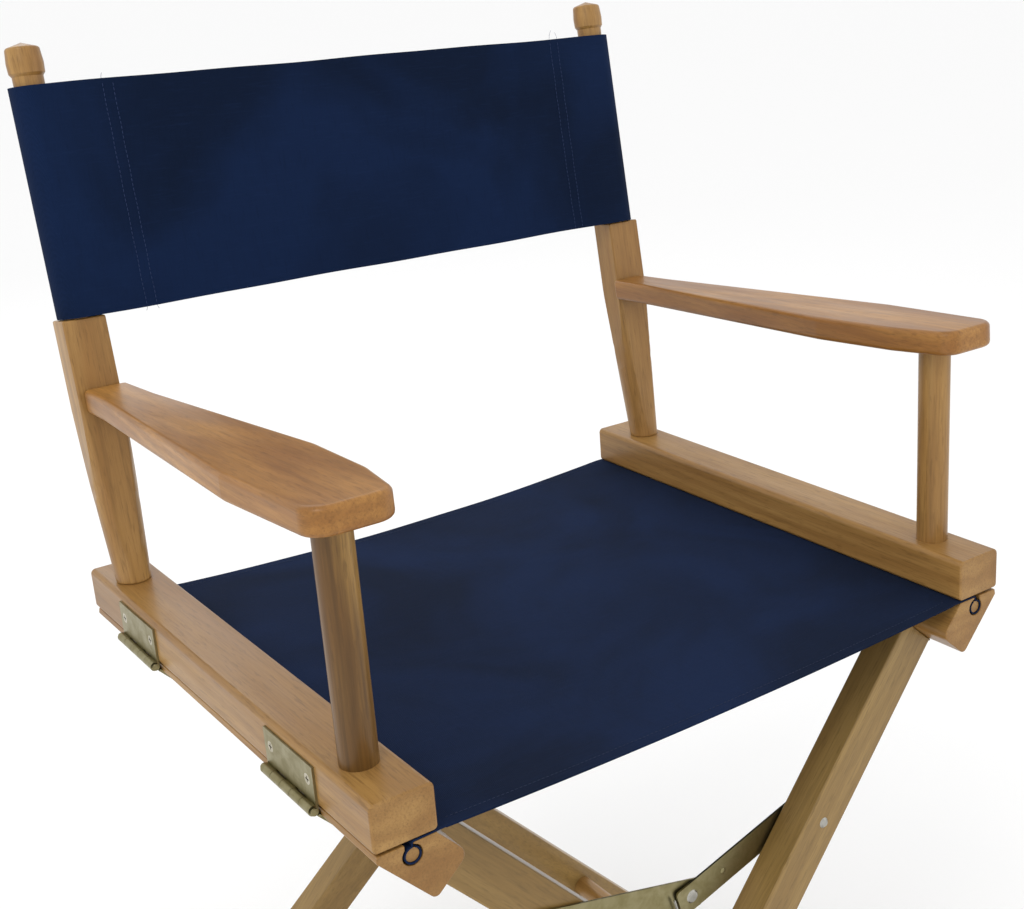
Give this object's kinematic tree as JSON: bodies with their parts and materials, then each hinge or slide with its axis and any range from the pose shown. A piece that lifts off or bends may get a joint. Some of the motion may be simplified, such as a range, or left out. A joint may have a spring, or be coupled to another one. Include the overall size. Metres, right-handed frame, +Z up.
{
  "type": "folding chair",
  "caption": "Tall folding director chair: crossed wooden legs, flat arms on turned posts and slung navy canvas seat and back.",
  "frame": {"origin": "centre of the bounding box on the floor", "axes": "+Z up, -Y the side that a sitter faces, +X to the right as seen from the front"},
  "size_m": [0.5967, 0.5447, 0.9683],
  "materials": {
    "wood": "satin clear lacquer",
    "pale_wood": "satin clear lacquer",
    "canvas": "navy cotton duck",
    "zinc": "yellow zinc plate",
    "steel": "bright zinc plate"
  },
  "bodies": {
    "hang": {"seat_canvas": "canvas", "pivot_bolt_front": "steel", "pivot_bolt_rear": "steel", "pivot_nut_front": "steel", "pivot_nut_rear": "steel", "pivot_spacer_front": "steel", "pivot_spacer_rear": "steel"},
    "frame_right": {"leg_front_right": "wood", "leg_rear_right": "wood", "stretcher_right": "wood", "seat_rail_right": "wood", "seat_stick_right": "pale_wood", "leg_screws_right": "steel", "lower_leaf_right_front": "zinc", "lower_leaf_right_rear": "zinc", "lower_leaf_screws_right": "zinc", "hinge_pin_right_front": "zinc", "hinge_pin_right_rear": "zinc", "brace_rivet_right": "steel"},
    "frame_left": {"leg_front_left": "wood", "leg_rear_left": "wood", "stretcher_left": "wood", "seat_rail_left": "wood", "seat_stick_left": "pale_wood", "leg_screws_left": "steel", "lower_leaf_left_front": "zinc", "lower_leaf_left_rear": "zinc", "lower_leaf_screws_left": "zinc", "hinge_pin_left_front": "zinc", "hinge_pin_left_rear": "zinc", "brace_rivet_left": "steel"},
    "arm_right": {"base_rail_right": "wood", "front_post_right": "wood", "back_post_right": "wood", "armrest_right": "pale_wood", "arm_pins_right": "steel", "post_screws_right": "steel", "upper_leaf_right_front": "zinc", "upper_leaf_right_rear": "zinc", "upper_leaf_screws_right": "zinc"},
    "arm_left": {"base_rail_left": "wood", "front_post_left": "wood", "back_post_left": "wood", "armrest_left": "pale_wood", "arm_pins_left": "steel", "post_screws_left": "steel", "upper_leaf_left_front": "zinc", "upper_leaf_left_rear": "zinc", "upper_leaf_screws_left": "zinc", "back_canvas": "canvas"},
    "brace_right": {"brace_bar_right": "zinc", "brace_centre_rivet": "steel"},
    "brace_left": {"brace_bar_left": "zinc", "brace_centre_tail": "steel"}
  },
  "joints": [
    {"name": "fold_right", "type": "hinge", "parent": "hang", "child": "frame_right", "pos_m": [0, -0.03758, 0.29612], "axis": [0, -0.9986, 0.0523], "range_deg": [0, 34], "deforming": ["seat_canvas"]},
    {"name": "fold_left", "type": "hinge", "parent": "hang", "child": "frame_left", "pos_m": [0, -0.03758, 0.29612], "axis": [0, 0.9986, -0.0523], "range_deg": [0, 34], "deforming": ["seat_canvas"]},
    {"name": "arm_hinge_right", "type": "hinge", "parent": "frame_right", "child": "arm_right", "pos_m": [0.264, -0.02368, 0.56132], "axis": [0, 0.9986, -0.0523], "range_deg": [0, 34], "deforming": ["back_canvas"]},
    {"name": "arm_hinge_left", "type": "hinge", "parent": "frame_left", "child": "arm_left", "pos_m": [-0.264, -0.02368, 0.56132], "axis": [0, -0.9986, 0.0523], "range_deg": [0, 34], "deforming": ["back_canvas"]},
    {"name": "brace_pivot_right", "type": "hinge", "parent": "frame_right", "child": "brace_right", "pos_m": [0.10425, -0.20189, 0.42149], "axis": [0.0244, -0.9965, 0.0796], "range_deg": [0, 30.95]},
    {"name": "brace_pivot_left", "type": "hinge", "parent": "frame_left", "child": "brace_left", "pos_m": [-0.10491, -0.19532, 0.42188], "axis": [0.0244, 0.9965, -0.0796], "range_deg": [0, 30.95]}
  ],
  "couplings": [
    {"joint": "fold_left", "follows": "fold_right", "ratio": 1},
    {"joint": "arm_hinge_right", "follows": "fold_right", "ratio": 1},
    {"joint": "arm_hinge_left", "follows": "fold_right", "ratio": 1},
    {"joint": "brace_pivot_right", "follows": "fold_right", "ratio": 0.9074},
    {"joint": "brace_pivot_left", "follows": "fold_right", "ratio": 0.9074}
  ]
}
